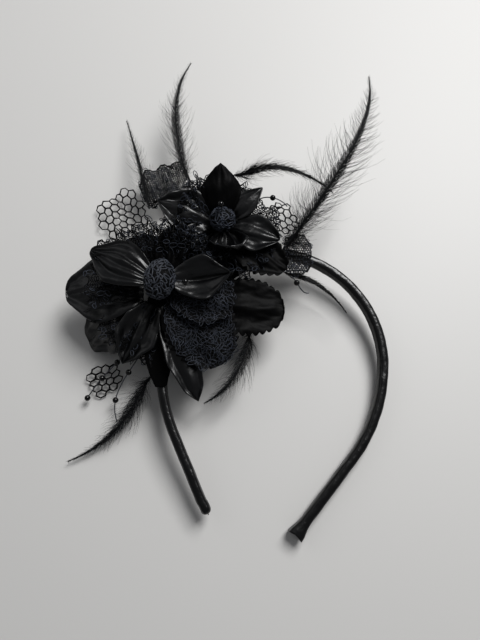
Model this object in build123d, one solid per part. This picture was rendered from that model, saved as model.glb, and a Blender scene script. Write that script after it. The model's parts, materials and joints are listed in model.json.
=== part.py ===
from build123d import *
import math
import os

# Fascinator headpiece: a satin-covered sprung headband with a felt base on one shoulder that carries
# two fabric flowers, lace, veiling, feathers and beads on fine wires. It lies on its back.
# Millimetres. +Z up, +X to the wearer's uncovered leg, +Y towards the crown of the band.
# The band lies in its own plane: its origin is the centre of the crown arc, its local +Y the crown.

# Headband
seat_radius = 57.25         # inner face of the covered band over the crown
core_width = 5.1            # sprung plastic strip
core_thickness = 3.2
core_corner = 0.8
satin_thickness = 1.1       # satin over a thin wadding
cover_fit = 0.05            # between the strip and its satin tube
crown_half_angle = 86.0     # the crown is a true arc this far each side of the apex
leg_radius = 85.0           # flatter arc below the crown
leg_angle = 36.0
leg_straight = 40.0         # straight run down to the tip
base_side_angle = 22.0      # part of the leg arc that the felt stiffens on the flower side
flex_gap = 0.4              # clearance between a leg and the crown at its flex line
core_setback = 1.2          # the strip stops short of the covered tip
tip_length = 9.0            # folded satin end of the free leg
tip_width = 8.6
tip_thickness = 8.0
round_tip_length = 3.6      # round end of the flower-side leg

# How the band lies: turned on the table, crown and flower side lifted by the flowers
band_turn = -8.0
crown_lift = 4.0
side_lift = 5.0
seat_height = 8.0

# Felt base
felt_thickness = 1.5
felt_fit = 0.1
lip_thickness = 1.0
lip_depth = 5.0
lip_start = 104.0           # round the crown's arc
lip_sweep = 58.0

# Flowers: each stands on the felt around a stuffed calyx
flower_a_angle = 158.26     # round the crown's arc
flower_a_out = 10.19        # from the band's centreline out to the flower's axis
flower_b_angle = 120.70
flower_b_out = 16.76
calyx_a_radius = 6.5
calyx_a_height = 17.0
calyx_b_radius = 5.0
calyx_b_height = 11.0
petal_fit = 0.35            # between a petal's root and its calyx
satin_petal = 0.5
lace_petal = 0.35
lace_gap = 0.3              # between a satin petal and the lace sewn over it

# Trimmings
bead_radius = 1.6
wire_radius = 0.3
feather_thickness = 0.6
veil_thickness = 0.6

cover_width = core_width + 2 * (cover_fit + satin_thickness)
cover_thickness = core_thickness + 2 * (cover_fit + satin_thickness)
mid_radius = seat_radius + cover_thickness / 2
felt_level = cover_width / 2 + felt_fit
petal_level = felt_level + felt_thickness
band_pose = Pos(0, 0, seat_height) * Rot(0, 0, band_turn) * Rot(crown_lift, 0, 0) * Rot(0, side_lift, 0)

nodes = {}


def polar(radius, angle):
    return (radius * math.cos(math.radians(angle)), radius * math.sin(math.radians(angle)))


flower_at = {
    "a": polar(mid_radius + flower_a_out, flower_a_angle),
    "b": polar(mid_radius + flower_b_out, flower_b_angle),
}


def leg_centre(side):
    """Centre of the leg arc; side is 1 for the free leg and -1 for the flower side."""
    x, y = polar(mid_radius - leg_radius, 90 - crown_half_angle)
    return (side * x, y)


def leg_arc(side, start, end):
    """The leg's arc between two angles down from the end of the crown arc."""
    heading = 90 - crown_half_angle
    if side > 0:
        return CenterArc(leg_centre(side), leg_radius, heading - start, start - end)
    return CenterArc(leg_centre(side), leg_radius, 180 - heading + start, end - start)


def crown_line():
    """Centreline of the crown body, from the free leg's flex line to the felt's end."""
    arc = CenterArc((0, 0), mid_radius, 90 - crown_half_angle, 2 * crown_half_angle)
    return Wire([arc, leg_arc(-1, 0, base_side_angle)])


def leg_line(side, start, setback):
    """Centreline of a leg from start degrees down its arc to the tip, less a setback."""
    gap = math.degrees(flex_gap / leg_radius)
    arc = leg_arc(side, start + gap, leg_angle)
    foot = arc @ 1
    heading = arc % 1
    return Wire([arc, Line(foot, foot + heading * (leg_straight - setback))])


def strip(line, thickness, width, corner):
    """A rounded strip swept along a line in the band's plane."""
    start = Plane(origin=line @ 0, x_dir=(line % 0).cross(Vector(0, 0, 1)), z_dir=line % 0)
    return sweep(start * RectangleRounded(thickness, width, corner), path=line)


def covered(name, line, core_line):
    """The plastic strip and the satin tube drawn over it."""
    bore = (core_thickness + 2 * cover_fit, core_width + 2 * cover_fit, core_corner + cover_fit)
    outer = strip(line, cover_thickness, cover_width, core_corner + cover_fit + satin_thickness)
    nodes["band_core_" + name] = band_pose * strip(core_line, core_thickness, core_width, core_corner)
    nodes["satin_cover_" + name] = band_pose * (outer - strip(line, *bore))


def band():
    crown = crown_line()
    covered("crown", crown, crown)
    for side, name, start in ((1, "free_leg", 0), (-1, "flower_leg", base_side_angle)):
        covered(name, leg_line(side, start, 0), leg_line(side, start, core_setback))
    square_tip()
    round_tip()


def tip_plane(side):
    line = leg_line(side, 0, 0)
    return Plane(origin=line @ 1, x_dir=(line % 1).cross(Vector(0, 0, 1)), z_dir=line % 1)


def square_tip():
    """The folded, pressed end of the satin on the free leg."""
    end = tip_plane(1)
    neck = end * RectangleRounded(cover_thickness, cover_width, core_corner)
    swell = RectangleRounded(tip_thickness * 0.78, tip_width * 0.93, core_corner)
    flare = end.offset(tip_length * 0.45) * swell
    hem = end.offset(tip_length) * RectangleRounded(tip_thickness, tip_width, core_corner)
    nodes["satin_end_free_leg"] = band_pose * loft([neck, flare, hem])


def round_tip():
    """The gathered round end of the satin on the flower side."""
    foot = tip_plane(-1) * RectangleRounded(cover_thickness, cover_width, core_corner)
    block = extrude(foot, round_tip_length)
    end_face = block.faces().sort_by(SortBy.DISTANCE, reverse=True)[0]
    nodes["satin_end_flower_leg"] = band_pose * fillet(end_face.edges(), core_corner * 0.9)


# Felt base: degrees round the crown from its apex, then its reach outside and inside the centreline
felt_outline = (
    (3.82, 3.0, 2.5),
    (15.28, 15, 7),
    (32.47, 26, 11),
    (49.66, 24, 13),
    (68.75, 17, 14),
)
# Its tail along the leg: distance back from the crown body's end, then the same reaches
felt_tail = (
    (30.7, 12, 9),
    (14.7, 7.5, 5.5),
    (3.7, 3.2, 2.8),
)


def felt_side(line, side):
    """One edge of the felt, offset from the band's centreline; side is 1 outside and -1 inside."""
    stops = [(math.radians(crown_half_angle + angle) * mid_radius, *reach) for angle, *reach in felt_outline]
    stops += [(line.length - back, *reach) for back, *reach in felt_tail]
    points = []
    for along, outside, inside in stops:
        spot = line.position_at(along, position_mode=PositionMode.LENGTH)
        heading = line.tangent_at(along, position_mode=PositionMode.LENGTH)
        across = heading.cross(Vector(0, 0, 1))
        points.append(spot + across * (outside if side > 0 else -inside))
    return points


def felt():
    line = crown_line()
    outside = felt_side(line, 1)
    inside = felt_side(line, -1)
    outline = Wire([
        Spline(*outside),
        Line(outside[-1], inside[-1]),
        Spline(*reversed(inside)),
        Line(inside[0], outside[0]),
    ])
    base = extrude(Face(outline), felt_thickness)
    nodes["felt_base"] = band_pose * Pos(0, 0, felt_level) * base
    # The lip is folded down over the outer face of the band and glued to it
    lip_radius = mid_radius + cover_thickness / 2 + felt_fit + lip_thickness / 2
    arc = Wire([CenterArc((0, 0), lip_radius, lip_start, lip_sweep)])
    lip = Pos(0, 0, felt_level - lip_depth / 2) * strip(arc, lip_thickness, lip_depth, lip_thickness * 0.3)
    nodes["felt_lip"] = band_pose * lip


def petal_outline(length, width, fullness):
    """Half-leaf splines that meet at a tip; fullness is how broad the leaf stays near the tip."""
    side = [
        (0, width * 0.2),
        (length * 0.28, width * 0.42),
        (length * 0.58, width * 0.5),
        (length * 0.87, width * fullness),
        (length, 0),
    ]
    other = [(x, -y) for x, y in side]
    return Face(Wire([Spline(*side), Spline(*reversed(other)), Line(other[0], side[0])]))


def petal(length, width, dome, fullness, thickness=satin_petal, above=0.0, inset=0.0):
    """A cupped petal along +X with its root at the origin. A negative dome dishes it upwards.

    A lace layer is the same petal raised above the satin and inset from its edge.
    """
    radius = abs(dome)
    sink = math.sqrt(radius ** 2 - (length / 2) ** 2)
    inner = radius + above if dome > 0 else radius - above - thickness
    ball = Sphere(inner + thickness, rotation=(90, 0, 0)) - Sphere(inner, rotation=(90, 0, 0))
    reach = radius * 0.6
    prism = extrude(petal_outline(length - inset, width - 2 * inset, fullness), reach, both=True)
    return prism & (Pos(length / 2, 0, -sink if dome > 0 else sink) * ball)


def placed(flower, shape, turn, start, level, droop, roll=0.0):
    """Puts a petal round a flower: turned about its axis, root at start and level, tip down by droop."""
    return flower * Rot(0, 0, turn) * Pos(start, 0, level) * Rot(0, droop, 0) * Rot(roll, 0, 0) * shape


def flower_pose(flower):
    x, y = flower_at[flower]
    return band_pose * Pos(x, y, petal_level)


def beside(flower):
    """The foot of a flower, from which the trimmings round it are measured with the axes of the table."""
    return Pos(flower_pose(flower).position)


# Petals: turn, start, level, droop, length, width, dome, fullness
root_a = calyx_a_radius + petal_fit
flower_a = {
    "petal_a1": (160, root_a, 13.0, 17, 37, 24, 34, 0.26),
    "petal_a2": (186, 9.5, 2.5, 17, 43, 35, 38, 0.36),
    "petal_a3": (217, 14.5, 1.2, 40, 43, 31, 40, 0.36),
    "petal_a4": (296, root_a, 1.6, 3, 34, 15, 60, 0.32),
    "petal_a5": (322, root_a, 8.0, 2, 44, 38, 60, 0.40),
    "petal_a6": (14, root_a, 18.5, -12, 29, 23, -34, 0.26),
    "petal_a7": (352, root_a, 11.8, -2, 32, 27, 44, 0.38),
    "petal_a8": (357, 21.0, 1.5, -1, 45, 32, 70, 0.42),
    "petal_a9": (128, 15.5, 1.0, 42, 37, 28, 40, 0.34),
}
root_b = calyx_b_radius + petal_fit
flower_b = {
    "petal_b1": (101, root_b, 9.0, -24, 27, 23, 30, 0.28),
    "petal_b2": (292, root_b, 9.0, -42, 20, 21, -24, 0.34),
    "petal_b3": (170, root_b, 6.5, -6, 31, 24, 30, 0.27),
    "petal_b4": (352, root_b, 6.0, -8, 27, 20, 34, 0.30),
    "petal_b5": (51, root_b, 6.0, -14, 25, 12, 26, 0.24),
    "petal_b6": (331, 9.5, 4.2, -4, 33, 24, 50, 0.40),
    "petal_b7": (96, 15.0, 1.0, 50, 39, 30, 40, 0.36),
}
lace_over = ("petal_a5",)
lace_inset = 1.0


def petals(flower, table):
    pose = flower_pose(flower)
    for name, row in table.items():
        turn, start, level, droop, length, width, dome, fullness = row
        leaf = petal(length, width, dome, fullness)
        nodes[name] = placed(pose, leaf, turn, start, level, droop)
        if name in lace_over:
            cover = petal(length, width, dome, fullness, lace_petal, satin_petal + lace_gap, lace_inset)
            nodes[name + "_lace"] = placed(pose, cover, turn, start, level, droop)


def knot(name, calyx_radius, calyx_height, half_sizes):
    """A stuffed calyx with a lace-covered knot on top."""
    pose = flower_pose(name)
    calyx = Pos(0, 0, calyx_height / 2) * Cylinder(calyx_radius, calyx_height)
    ball = Pos(0, 0, calyx_height + half_sizes[2] * 0.86) * scale(Sphere(1), by=half_sizes)
    shell = tuple(half + lace_gap + lace_petal for half in half_sizes)
    void = tuple(half + lace_gap for half in half_sizes)
    above = Pos(0, 0, calyx_height + half_sizes[2] * 2.6) * Box(60, 60, half_sizes[2] * 4)
    lace = scale(Sphere(1), by=shell) - scale(Sphere(1), by=void)
    lace = (Pos(0, 0, calyx_height + half_sizes[2] * 0.86) * lace) & above
    nodes["calyx_" + name] = pose * calyx
    nodes["knot_" + name] = pose * (ball - calyx)
    nodes["knot_" + name + "_lace"] = pose * lace


# Feathers: the flower beside it, the widest reach to one side, how early it is widest, then chosen
# points along the quill from that flower's foot
feathers = {
    "feather_1": ("b", 4.5, 0.3, (
        (-42.1, 16.2, -6.2), (-48.1, 40.2, -7.2), (-55.1, 64.2, -12.2), (-63.1, 89.2, -19.2))),
    "feather_2": ("b", 8, 0.35, (
        (-19.1, 38.2, -8.2), (-27.1, 62.2, -6.2), (-29.1, 90.2, -3.2), (-20.1, 119.2, -2.2))),
    "feather_3": ("b", 5, 0.15, (
        (7.9, 31.2, 0.8), (22.9, 36.2, 6.8), (42.9, 34.2, 5.8), (65.9, 29.2, -9.2))),
    "feather_4": ("b", 9, 0.4, (
        (34.9, -11.8, 0.8), (51.9, 10.2, 11.8), (70.9, 38.2, 19.8), (83.9, 88.2, 20.8))),
    "feather_5": ("a", 7, 0.35, (
        (45.2, -19.2, -6.6), (44.2, -33.2, -6.6), (37.2, -47.2, -7.1), (22.7, -59.2, -7.6))),
    "feather_6": ("a", 6.5, 0.25, (
        (-8.8, -42.7, -12.6), (-14.8, -58.7, -15.6), (-26.8, -73.7, -19.6), (-49.8, -87.7, -21.6))),
    "feather_7": ("b", 2.6, 0.2, (
        (33.9, -23.8, -5.7), (41.9, -24.8, -5.7), (54.9, -30.3, -7.7), (68.9, -44.8, -10.2))),
}


def feather(points, reach, widest):
    """A leaf-shaped vane lofted about its quill, thin all over and drawn to a point."""
    quill = Wire([Spline(*points)])
    sections = []
    steps = 7
    for step in range(steps + 1):
        along = step / steps
        rise = min(1.0, (along + 0.12) / (widest + 0.12))
        fall = max(0.0, (along - widest) / (1 - widest))
        half = 0.45 + reach * math.sin(rise * math.pi / 2) * (1 - fall) ** 1.3
        heading = quill % along
        side = Vector(0, 0, 1).cross(heading)
        plane = Plane(origin=quill @ along, x_dir=side, z_dir=heading)
        sections.append(plane * Rectangle(2 * half, feather_thickness))
    return loft(sections)


# Bead sprays: the flower, how far along the wire each bead is threaded, then chosen points along the wire
sprays = {
    "spray_1": ("a", (0.3, 0.62, 0.985), (
        (-17.8, -27.7, -15.6), (-24.8, -35.7, -13.6), (-33.8, -44.7, -16.6), (-41.8, -54.7, -20.6))),
    "spray_2": ("a", (0.36, 0.74), (
        (-10.8, -27.7, -12.6), (-16.8, -39.7, -11.6), (-25.8, -56.7, -18.6), (-24.8, -66.7, -21.6))),
    "spray_3": ("b", (0.97,), (
        (-30.1, 19.2, -7.2), (-34.1, 20.2, -4.2), (-39.1, 21.2, -4.2))),
    "spray_4": ("b", (0.55,), (
        (18.9, 18.2, -1.2), (23.9, 19.2, 2.8), (29.9, 18.2, 3.8), (36.9, 14.2, 1.8))),
    "spray_5": ("b", (0.42,), (
        (37.9, -26.8, -2.7), (39.9, -29.8, 0.8), (42.9, -33.8, -1.2), (47.9, -35.3, -5.2))),
    "spray_6": ("a", (0.93,), (
        (9.9, -3.7, 24.4), (12.7, -4.2, 25.9), (15.2, -4.7, 25.4))),
    "spray_7": ("b", (0.93,), (
        (0.9, 0.2, 21.4), (0.9, 1.2, 23.4), (0.4, 2.2, 25.4))),
}


def spray(name, place, points, threaded):
    wire = Wire([Spline(*points)])
    start = Plane(origin=wire @ 0, z_dir=wire % 0)
    bore = sweep(start * Circle(wire_radius + 0.02), path=wire)
    nodes[name + "_wire"] = place * sweep(start * Circle(wire_radius), path=wire)
    beads = [place * (Pos(*(wire @ along)) * Sphere(bead_radius) - bore) for along in threaded]
    nodes[name + "_beads"] = Compound(children=beads) if len(beads) > 1 else beads[0]


# Veiling and lace: the flower, place, turn, slope, width, depth, wave height and number of waves
veils = {
    "veil_upper": ("b", (-51.1, 9.2, -20.2), 130, 2, 34, 32, 2, 2),
    "veil_lower": ("a", (-24.8, -37.7, -22.4), 212, 0, 20, 20, 1.5, 2),
    "veil_side": ("b", (25.9, 6.2, -7.2), 35, 4, 24, 20, 1.5, 2),
    "lace_upper": ("b", (-30.1, 26.2, -14.2), 112, 0, 30, 26, 2, 3),
    "lace_side": ("b", (33.9, -13.8, -1.2), 0, 2, 24, 16, 1.2, 2),
    "veil_left": ("a", (-31.9, 22.3, -11.7), 170, -4, 26, 12, 1.5, 2),
}


def veil(width, depth, height, waves):
    """A gathered strip: a wavy band of the given depth along +X, its waves across Y."""
    steps = 8 * waves
    top = []
    for step in range(steps + 1):
        y = width * (step / steps - 0.5)
        top.append((0, y, height * math.sin(step / steps * waves * 2 * math.pi)))
    under = [(x, y, z - veil_thickness) for x, y, z in reversed(top)]
    edge = Wire([Spline(*top), Line(top[-1], under[0]), Spline(*under), Line(under[-1], top[0])])
    return extrude(Face(edge), depth, dir=(1, 0, 0))


def trimmings():
    for name, (flower, reach, widest, points) in feathers.items():
        nodes[name] = beside(flower) * feather(points, reach, widest)
    for name, (flower, threaded, points) in sprays.items():
        spray(name, beside(flower), points, threaded)
    for name, (flower, at, turn, slope, width, depth, height, waves) in veils.items():
        strip_of_net = Rot(0, 0, turn) * Rot(0, slope, 0) * veil(width, depth, height, waves)
        nodes[name] = beside(flower) * Pos(*at) * strip_of_net


band()
felt()
petals("a", flower_a)
petals("b", flower_b)
knot("a", calyx_a_radius, calyx_a_height, (7.0, 9.5, 6.0))
knot("b", calyx_b_radius, calyx_b_height, (6.0, 6.0, 5.0))
trimmings()

# The origin is the middle of the bottom of the whole piece, on the surface it lies on
boxes = [shape.bounding_box() for shape in nodes.values()]
middle_x = (min(box.min.X for box in boxes) + max(box.max.X for box in boxes)) / 2
middle_y = (min(box.min.Y for box in boxes) + max(box.max.Y for box in boxes)) / 2
to_origin = Pos(-middle_x, -middle_y, -min(box.min.Z for box in boxes))
os.makedirs("parts", exist_ok=True)
for node, shape in nodes.items():
    export_step(to_origin * shape, "parts/" + node + ".step")
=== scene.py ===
import bpy
import bmesh
import json
import math
import numpy as np
from mathutils import Matrix, Vector, noise
from mathutils.bvhtree import BVHTree


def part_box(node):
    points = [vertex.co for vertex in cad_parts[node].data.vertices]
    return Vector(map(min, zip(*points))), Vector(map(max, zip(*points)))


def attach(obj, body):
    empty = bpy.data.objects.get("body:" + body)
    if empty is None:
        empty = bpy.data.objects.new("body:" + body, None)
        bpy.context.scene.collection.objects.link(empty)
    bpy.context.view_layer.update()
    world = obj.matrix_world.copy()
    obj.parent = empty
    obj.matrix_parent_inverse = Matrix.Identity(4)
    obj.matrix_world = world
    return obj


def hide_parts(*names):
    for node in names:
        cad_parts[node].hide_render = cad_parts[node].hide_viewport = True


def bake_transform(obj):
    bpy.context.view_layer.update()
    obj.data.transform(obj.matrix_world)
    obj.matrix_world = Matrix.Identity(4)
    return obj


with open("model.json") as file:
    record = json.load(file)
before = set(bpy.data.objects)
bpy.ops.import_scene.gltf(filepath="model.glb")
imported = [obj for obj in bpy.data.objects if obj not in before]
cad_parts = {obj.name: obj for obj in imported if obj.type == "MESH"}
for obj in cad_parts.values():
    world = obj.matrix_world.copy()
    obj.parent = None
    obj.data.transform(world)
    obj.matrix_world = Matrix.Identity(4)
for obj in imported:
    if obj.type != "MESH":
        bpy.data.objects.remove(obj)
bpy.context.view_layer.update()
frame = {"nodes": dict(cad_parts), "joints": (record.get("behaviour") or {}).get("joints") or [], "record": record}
mm = 0.001
seat = frame["record"]["mounts"][0]
seatCentre = Vector(seat["pos_m"])
bandUp = -Vector(seat["axis"]).normalized()  # out of the table, along the band's width
flexAt = {joint["child"]: Vector(joint["pos_m"]) for joint in frame["joints"]}


# Small helpers

def hexColour(code):
    parts = [int(code[i:i + 2], 16) / 255 for i in (1, 3, 5)]
    return tuple(c / 12.92 if c <= 0.04045 else ((c + 0.055) / 1.055) ** 2.4 for c in parts) + (1.0,)


def smooth(low, high, value):
    t = min(1.0, max(0.0, (value - low) / (high - low)))
    return t * t * (3 - 2 * t)


def ripple(point, size, seed=0.0):
    # soft noise from -1 to 1, with lumps about size across
    return noise.noise(Vector((point[0] / size + seed * 7.31, point[1] / size - seed * 3.7,
                               point[2] / size + seed)))


def addTube(tree, curve, radius, sides):
    # draws a curve as a tube whose thickness is radius, which may vary along it
    ring = addNode(tree, "GeometryNodeCurvePrimitiveCircle", {"Resolution": sides, "Radius": 1.0})
    return addNode(tree, "GeometryNodeCurveToMesh", {"Fill Caps": True},
                   {"Curve": curve, "Profile Curve": ring.outputs[0], "Scale": radius}).outputs[0]


def addNode(tree, kind, settings=None, links=None):
    # lower-case keys are the node's own settings; others and numbers are its inputs
    node = tree.nodes.new(kind)
    for key, value in (settings or {}).items():
        if isinstance(key, str) and key[0].islower():
            setattr(node, key, value)
        else:
            node.inputs[key].default_value = value
    for key, source in (links or {}).items():
        tree.links.new(source, node.inputs[key])
    return node


def newMaterial(name, base, rough, extra=None):
    material = bpy.data.materials.new(name)
    material.use_nodes = True
    tree = material.node_tree
    shader = tree.nodes["Principled BSDF"]
    shader.inputs["Base Color"].default_value = hexColour(base)
    shader.inputs["Roughness"].default_value = rough
    for key, value in (extra or {}).items():
        shader.inputs[key].default_value = value
    place = addNode(tree, "ShaderNodeTexCoord")
    return material, tree, shader, place.outputs["Object"]


def mergedCopy(*names):
    shape = bmesh.new()
    for name in names:
        shape.from_mesh(frame["nodes"][name].data)
    bmesh.ops.remove_doubles(shape, verts=shape.verts, dist=1e-6)
    return shape


def makeMesh(name, points, faces, material, edges=()):
    mesh = bpy.data.meshes.new(name)
    mesh.from_pydata([tuple(p) for p in points], list(edges), faces)
    mesh.update()
    piece = bpy.data.objects.new(name, mesh)
    bpy.context.scene.collection.objects.link(piece)
    if material:
        mesh.materials.append(material)
    for face in mesh.polygons:
        face.use_smooth = True
    return piece


def faceOutwards(piece):
    shape = bmesh.new()
    shape.from_mesh(piece.data)
    bmesh.ops.remove_doubles(shape, verts=shape.verts, dist=1e-6)
    bmesh.ops.recalc_face_normals(shape, faces=shape.faces)
    shape.to_mesh(piece.data)
    shape.free()


def addWall(piece, thickness, offset=0.0):
    wall = piece.modifiers.new("wall", "SOLIDIFY")
    wall.thickness = thickness
    wall.offset = offset
    wall.use_even_offset = False
    return wall


def addSmoothing(piece, levels=1):
    finer = piece.modifiers.new("finer", "SUBSURF")
    finer.levels = levels
    finer.render_levels = levels


def settle(piece):
    # turns a piece and its modifiers into one plain mesh
    bpy.context.view_layer.update()
    graph = bpy.context.evaluated_depsgraph_get()
    mesh = bpy.data.meshes.new_from_object(piece.evaluated_get(graph), preserve_all_data_layers=True,
                                           depsgraph=graph)
    piece.modifiers.clear()
    old = piece.data
    piece.data = mesh
    mesh.name = piece.name
    bpy.data.meshes.remove(old)
    return piece


def setInputs(modifier, values):
    for item in modifier.node_group.interface.items_tree:
        if item.item_type == "SOCKET" and item.in_out == "INPUT" and item.name in values:
            modifier[item.identifier] = values[item.name]


# Camera, floor and light

view = {"place": (0.0068, -0.1120, 0.2837), "aim": (0.0, 0.301, -0.954), "lens": 28.8, "sensor": 36.0}
studio = {"floor": "#c6c5c3", "sky": 0.20, "size": 1.6,
          "lamps": (("window", (0.45, 0.55, 0.95), 0.6, 13.5), ("ceiling", (-0.8, 0.5, 0.7), 0.8, 0.9))}


def makeStudio():
    bpy.context.scene.view_settings.view_transform = "Standard"
    bpy.context.scene.view_settings.look = "Medium High Contrast"
    camera = bpy.data.objects.new("camera", bpy.data.cameras.new("camera"))
    camera.data.lens = view["lens"]
    camera.data.sensor_width = view["sensor"]
    camera.data.clip_start = 0.01
    camera.location = view["place"]
    camera.rotation_euler = Vector(view["aim"]).to_track_quat("-Z", "Y").to_euler()
    bpy.context.scene.collection.objects.link(camera)
    bpy.context.scene.camera = camera

    material, tree, shader, place = newMaterial("paintedBoard", studio["floor"], 0.55)
    grain = addNode(tree, "ShaderNodeTexNoise", {"Scale": 900.0, "Detail": 2.0}, {"Vector": place})
    bump = addNode(tree, "ShaderNodeBump", {"Strength": 0.05, "Distance": 0.0002},
                   {"Height": grain.outputs[0]})
    tree.links.new(bump.outputs[0], shader.inputs["Normal"])
    size = studio["size"]
    corners = [(-size, -size, 0), (size, -size, 0), (size, size, 0), (-size, size, 0)]
    makeMesh("floor", corners, [(0, 1, 2, 3)], material)

    world = bpy.data.worlds.new("softRoom")
    bpy.context.scene.world = world
    world.use_nodes = True
    world.node_tree.nodes["Background"].inputs["Color"].default_value = hexColour("#f2f4f8")
    world.node_tree.nodes["Background"].inputs["Strength"].default_value = studio["sky"]
    for name, spot, size, power in studio["lamps"]:
        lamp = bpy.data.objects.new(name, bpy.data.lights.new(name, "AREA"))
        lamp.data.size = size
        lamp.data.energy = power
        lamp.location = spot
        lamp.rotation_euler = (Vector((0.0, -0.02, 0.0)) - Vector(spot)).to_track_quat("-Z", "Y").to_euler()
        bpy.context.scene.collection.objects.link(lamp)


makeStudio()
print("studio ready")


# Finishes

def makeSatin(name, base, light, rough, sheen, gloss):
    # polyester satin: long floats of thread give a broad soft gleam that follows every fold
    material, tree, shader, place = newMaterial(name, base, rough, {
        "Sheen Weight": sheen, "Sheen Roughness": 0.35, "Sheen Tint": hexColour("#a9b4c8"),
        "Specular IOR Level": gloss})
    cloud = addNode(tree, "ShaderNodeTexNoise", {"Scale": 160.0, "Detail": 3.0}, {"Vector": place})
    shade = addNode(tree, "ShaderNodeMix", {"data_type": "RGBA", 6: hexColour(base), 7: hexColour(light)},
                    {0: cloud.outputs[0]})
    tree.links.new(shade.outputs[2], shader.inputs["Base Color"])
    # the weave is 0.15 mm a thread; drawn at 0.25 mm so that it just shows
    weave = addNode(tree, "ShaderNodeTexNoise", {"Scale": 4000.0, "Detail": 1.0}, {"Vector": place})
    crease = addNode(tree, "ShaderNodeTexNoise",
                     {"Scale": 260.0, "Detail": 3.0, "Roughness": 0.55, "Distortion": 0.6},
                     {"Vector": place})
    fine = addNode(tree, "ShaderNodeBump", {"Strength": 0.12, "Distance": 0.0001},
                   {"Height": weave.outputs[0]})
    bump = addNode(tree, "ShaderNodeBump", {"Strength": 0.30, "Distance": 0.0008},
                   {"Height": crease.outputs[0], "Normal": fine.outputs[0]})
    tree.links.new(bump.outputs[0], shader.inputs["Normal"])
    return material


# heat-cut satin pressed into cups: near black, with a cool gleam along each fold
petalSatin = makeSatin("polyesterSatin", "#010102", "#050608", 0.33, 0.03, 0.55)
# the same cloth brushed: deep black with hardly any gleam
matteSatin = makeSatin("brushedPolyester", "#010101", "#020203", 0.55, 0.01, 0.12)
# ribbon satin drawn tight over wadding: narrow bright lines along the band
bandSatin = makeSatin("ribbonSatin", "#010102", "#040405", 0.28, 0.03, 0.55)


def makeThread(name, base, light, rough, sheen, grain, gloss=0.25):
    # grain is the size of the uneven shade and twist along a thread, in metres
    material, tree, shader, place = newMaterial(name, base, rough, {
        "Sheen Weight": sheen, "Sheen Roughness": 0.4, "Sheen Tint": hexColour("#b5bdcc"),
        "Specular IOR Level": gloss})
    twist = addNode(tree, "ShaderNodeTexNoise", {"Scale": 1.0 / grain, "Detail": 2.0}, {"Vector": place})
    shade = addNode(tree, "ShaderNodeMix", {"data_type": "RGBA", 6: hexColour(base), 7: hexColour(light)},
                    {0: twist.outputs[0]})
    tree.links.new(shade.outputs[2], shader.inputs["Base Color"])
    bump = addNode(tree, "ShaderNodeBump", {"Strength": 0.35, "Distance": 0.0003},
                   {"Height": twist.outputs[0]})
    tree.links.new(bump.outputs[0], shader.inputs["Normal"])
    return material


# cotton yarn, twisted and looped by machine: dull black, uneven in shade
laceThread = makeThread("cottonLace", "#020203", "#08090b", 0.7, 0.03, 0.0008)
# heavier cord couched on the lace: stands up in loops, coloured blue-grey as a painted highlight for the glint of
# light on black cord
glintLaceCord = makeThread("raisedLaceCord", "#08090b", "#444954", 0.45, 0.12, 0.004)
# braided cord over the big knot: black cord painted the palest grey on the piece, a painted highlight for its
# glints
glintKnotCord = makeThread("braidedLaceCord", "#15161a", "#4c5058", 0.45, 0.12, 0.0015)
# stiff nylon filament, dipped black: thin hard strands with a faint edge of light
netThread = makeThread("nylonNet", "#020203", "#070708", 0.5, 0.02, 0.002)
# dyed rooster hackle: soft matt barbs of uneven black
barbHair = makeThread("dyedFeatherBarb", "#030304", "#0a0b0d", 0.5, 0.05, 0.003)
# wool felt, wetted and pressed: matt and slightly lumpy
woolFelt = makeThread("pressedFelt", "#020202", "#060607", 0.95, 0.03, 0.0009, 0.1)
# plain-woven lining, gathered by hand: flat black
calycoCloth = makeThread("gatheredLining", "#020203", "#060608", 0.8, 0.03, 0.0007, 0.1)
# injection-moulded ABS strip: smooth, half gloss, mostly hidden by the satin
stripPlastic = makeThread("mouldedAbs", "#0a0a0a", "#101010", 0.35, 0.0, 0.002, 0.5)
# drawn nylon wire: grey, glossy along its length
drawnNylon = makeThread("drawnNylonWire", "#2b2d31", "#484b51", 0.3, 0.0, 0.003, 0.5)
# tumbled glass bead: black with one small sharp highlight
glassBead = makeThread("polishedBead", "#020203", "#040405", 0.08, 0.0, 0.003, 0.5)


# The satin over the band

bandLook = {"thick": 5.5 * mm, "wide": 7.4 * mm, "ribbon": 0.0265, "ringStep": 1.3 * mm, "around": 36,
            "wall": 0.5 * mm, "wrinkle": 0.20 * mm, "creaseSize": 4.5 * mm, "seam": 0.14 * mm,
            "joinAngle": 118.0, "lap": 1.5, "flareThick": 1.45, "flareWide": 1.16, "flareLength": 10 * mm,
            "hollow": 0.9 * mm, "roundLength": 4 * mm}


def bandCentreline():
    # middle of the cover at even steps of angle about the seat, from the free tip round to the flower tip
    cover = mergedCopy("satin_cover_crown", "satin_cover_free_leg", "satin_cover_flower_leg")
    tree = BVHTree.FromBMesh(cover)
    cover.free()
    across = (Vector((1, 0, 0)) - bandUp * bandUp.x).normalized()
    along = bandUp.cross(across)
    rows = []
    for step in range(-300, 780):
        angle = step / 3
        way = across * math.cos(math.radians(angle)) + along * math.sin(math.radians(angle))
        near = tree.ray_cast(seatCentre, way)[0]
        far = tree.ray_cast(seatCentre + way * 0.4, -way)[0]
        if near is None or far is None:
            continue
        if 0.8 * bandLook["thick"] < (near - far).length < 1.4 * bandLook["thick"]:
            rows.append((angle, (near + far) / 2))
    return rows


def evenSteps(points, step):
    gone, kept = 0.0, [points[0].copy()]
    for a, b in zip(points, points[1:]):
        length = (b - a).length
        while gone + length >= step and length > 1e-9:
            a = a.lerp(b, (step - gone) / length)
            kept.append(a.copy())
            length = (b - a).length
            gone = 0.0
        gone += length
    return kept


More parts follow.
